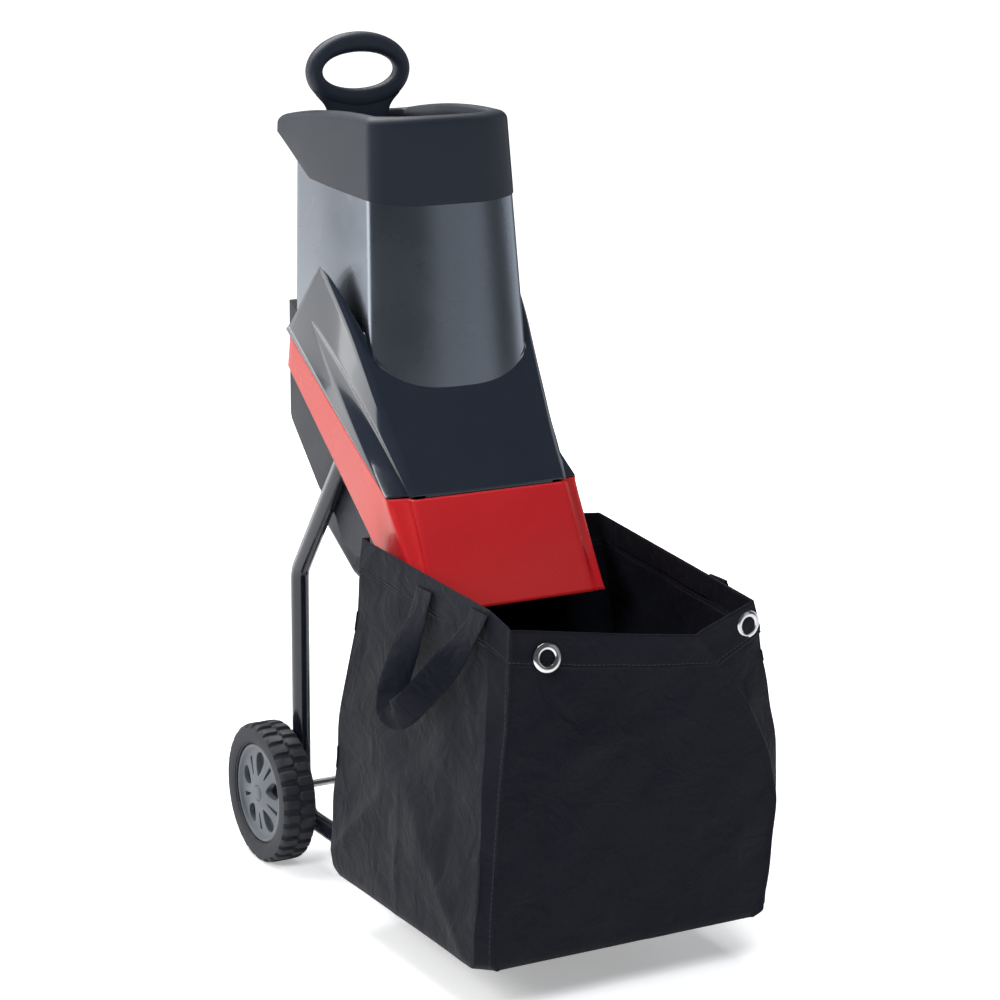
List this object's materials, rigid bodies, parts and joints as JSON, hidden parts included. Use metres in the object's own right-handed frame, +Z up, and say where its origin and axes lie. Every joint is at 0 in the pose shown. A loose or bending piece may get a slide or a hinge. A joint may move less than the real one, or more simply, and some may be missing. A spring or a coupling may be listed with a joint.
{
  "type": "electric garden shredder",
  "caption": "Upright electric garden shredder: feed hopper with push stick, hood over a knife disc, motor, sloping chute, wheeled tube stand and an open fabric catch bag.",
  "frame": {"origin": "on the ground, at the middle of the footprint seen from above", "axes": "+Z up, -Y towards the catch bag (front), +X to the right as seen from the front, along the axle"},
  "size_m": [0.452, 0.6996, 1.036],
  "materials": {
    "armature": "laminated steel with varnished windings",
    "axle_nut_left": "plated steel",
    "axle_nut_right": "plated steel",
    "axle_rod": "plated steel",
    "bag_handle_left": "black non-woven cloth",
    "bag_handle_right": "black non-woven cloth",
    "base_tube": "gloss powder coat",
    "bearing_bracket": "die cast",
    "bearing_lower": "plated steel",
    "bearing_upper": "plated steel",
    "blade_chamber": "fine grained charcoal plastic",
    "bracket_screw_1": "plated steel",
    "bracket_screw_2": "plated steel",
    "carbon_brush_front": "pressed carbon",
    "carbon_brush_rear": "pressed carbon",
    "catch_bag": "black non-woven cloth",
    "chute_cover": "gloss red moulded plastic",
    "cooling_fan": "black plastic",
    "cutting_disc": "ground steel",
    "disc_bolt": "plated steel",
    "eyelet_left": "bright pressed metal",
    "eyelet_right": "bright pressed metal",
    "feed_collar": "fine grained dark plastic",
    "feed_plate": "fine grained charcoal plastic",
    "foot_left": "plain rubber",
    "foot_right": "plain rubber",
    "hood": "gloss black moulded plastic",
    "hopper_body": "satin graphite",
    "hub_cap_left": "satin grey moulded plastic",
    "hub_cap_right": "satin grey moulded plastic",
    "inlet_socket": "black plastic",
    "knife_a": "plated steel",
    "knife_b": "plated steel",
    "knife_screw_a_1": "plated steel",
    "knife_screw_a_2": "plated steel",
    "knife_screw_b_1": "plated steel",
    "knife_screw_b_2": "plated steel",
    "leg_bolt_left": "plated steel",
    "leg_bolt_right": "plated steel",
    "leg_tube_left": "gloss powder coat",
    "leg_tube_right": "gloss powder coat",
    "lock_bracket": "fine grained dark plastic",
    "lock_knob": "black plastic",
    "lock_screw": "plated steel",
    "lock_sleeve": "plated steel",
    "motor_housing": "fine grained charcoal plastic",
    "off_button": "red plastic",
    "on_button": "green plastic",
    "plunger": "fine grained dark plastic",
    "reset_button": "black plastic",
    "rim_left": "satin grey moulded plastic",
    "rim_right": "satin grey moulded plastic",
    "rotor_shaft": "plated steel",
    "safety_switch": "black plastic",
    "stator": "laminated steel with varnished windings",
    "switch_plate": "black plastic",
    "tyre_left": "matt hard tyre",
    "tyre_right": "matt hard tyre"
  },
  "bodies": {
    "base": {"leg_tube_left": "leg_tube_left", "leg_tube_right": "leg_tube_right", "base_tube": "base_tube", "foot_left": "foot_left", "foot_right": "foot_right", "axle_rod": "axle_rod", "axle_nut_left": "axle_nut_left", "axle_nut_right": "axle_nut_right", "motor_housing": "motor_housing", "chute_cover": "chute_cover", "blade_chamber": "blade_chamber", "bearing_upper": "bearing_upper", "bearing_lower": "bearing_lower", "bearing_bracket": "bearing_bracket", "carbon_brush_front": "carbon_brush_front", "carbon_brush_rear": "carbon_brush_rear", "stator": "stator", "switch_plate": "switch_plate", "inlet_socket": "inlet_socket", "safety_switch": "safety_switch", "leg_bolt_left": "leg_bolt_left", "leg_bolt_right": "leg_bolt_right", "catch_bag": "catch_bag", "bag_handle_left": "bag_handle_left", "bag_handle_right": "bag_handle_right", "eyelet_left": "eyelet_left", "eyelet_right": "eyelet_right"},
    "wheel_left": {"tyre_left": "tyre_left", "rim_left": "rim_left", "hub_cap_left": "hub_cap_left"},
    "wheel_right": {"tyre_right": "tyre_right", "rim_right": "rim_right", "hub_cap_right": "hub_cap_right"},
    "rotor": {"rotor_shaft": "rotor_shaft", "armature": "armature", "cooling_fan": "cooling_fan", "cutting_disc": "cutting_disc", "disc_bolt": "disc_bolt", "knife_a": "knife_a", "knife_b": "knife_b", "knife_screw_a_1": "knife_screw_a_1", "knife_screw_a_2": "knife_screw_a_2", "knife_screw_b_1": "knife_screw_b_1", "knife_screw_b_2": "knife_screw_b_2"},
    "hopper_unit": {"hood": "hood", "hopper_body": "hopper_body", "feed_collar": "feed_collar", "feed_plate": "feed_plate", "lock_bracket": "lock_bracket", "bracket_screw_1": "bracket_screw_1", "bracket_screw_2": "bracket_screw_2"},
    "push_stick": {"plunger": "plunger"},
    "lock_ring": {"lock_sleeve": "lock_sleeve"},
    "lock_handle": {"lock_knob": "lock_knob", "lock_screw": "lock_screw"},
    "on_key": {"on_button": "on_button"},
    "off_key": {"off_button": "off_button"},
    "reset_key": {"reset_button": "reset_button"}
  },
  "joints": [
    {"name": "wheel_left_spin", "type": "hinge", "parent": "base", "child": "wheel_left", "pos_m": [-0.1555, 0.25725, 0.089], "axis": [1, 0, 0], "continuous": true},
    {"name": "wheel_right_spin", "type": "hinge", "parent": "base", "child": "wheel_right", "pos_m": [0.1555, 0.25725, 0.089], "axis": [1, 0, 0], "continuous": true},
    {"name": "rotor_spin", "type": "hinge", "parent": "base", "child": "rotor", "pos_m": [0, 0.13277, 0.60659], "axis": [0, -0.509, 0.8607], "continuous": true},
    {"name": "hopper_fold", "type": "hinge", "parent": "base", "child": "hopper_unit", "pos_m": [0, -0.02584, 0.52394], "axis": [1, 0, 0], "range_deg": [0, 70]},
    {"name": "push_stick_lift", "type": "slide", "parent": "hopper_unit", "child": "push_stick", "axis": [0, 0, 1], "range_m": [0, 0.3]},
    {"name": "lock_rise", "type": "slide", "parent": "hopper_unit", "child": "lock_ring", "axis": [0, -0.509, 0.8607], "range_m": [0, 0.006]},
    {"name": "lock_turn", "type": "hinge", "parent": "lock_ring", "child": "lock_handle", "pos_m": [0, 0.31952, 0.72668], "axis": [0, -0.509, 0.8607], "range_deg": [0, 1080]},
    {"name": "on_press", "type": "slide", "parent": "base", "child": "on_key", "axis": [0, -1, 0], "range_m": [0, 0.003], "stiffness_N_per_m": 300},
    {"name": "off_press", "type": "slide", "parent": "base", "child": "off_key", "axis": [0, -1, 0], "range_m": [0, 0.003], "stiffness_N_per_m": 300},
    {"name": "reset_press", "type": "slide", "parent": "base", "child": "reset_key", "axis": [0, -1, 0], "range_m": [0, 0.003], "stiffness_N_per_m": 300}
  ],
  "couplings": [
    {"joint": "lock_turn", "follows": "lock_rise", "rad_per_m": 3141.6}
  ]
}
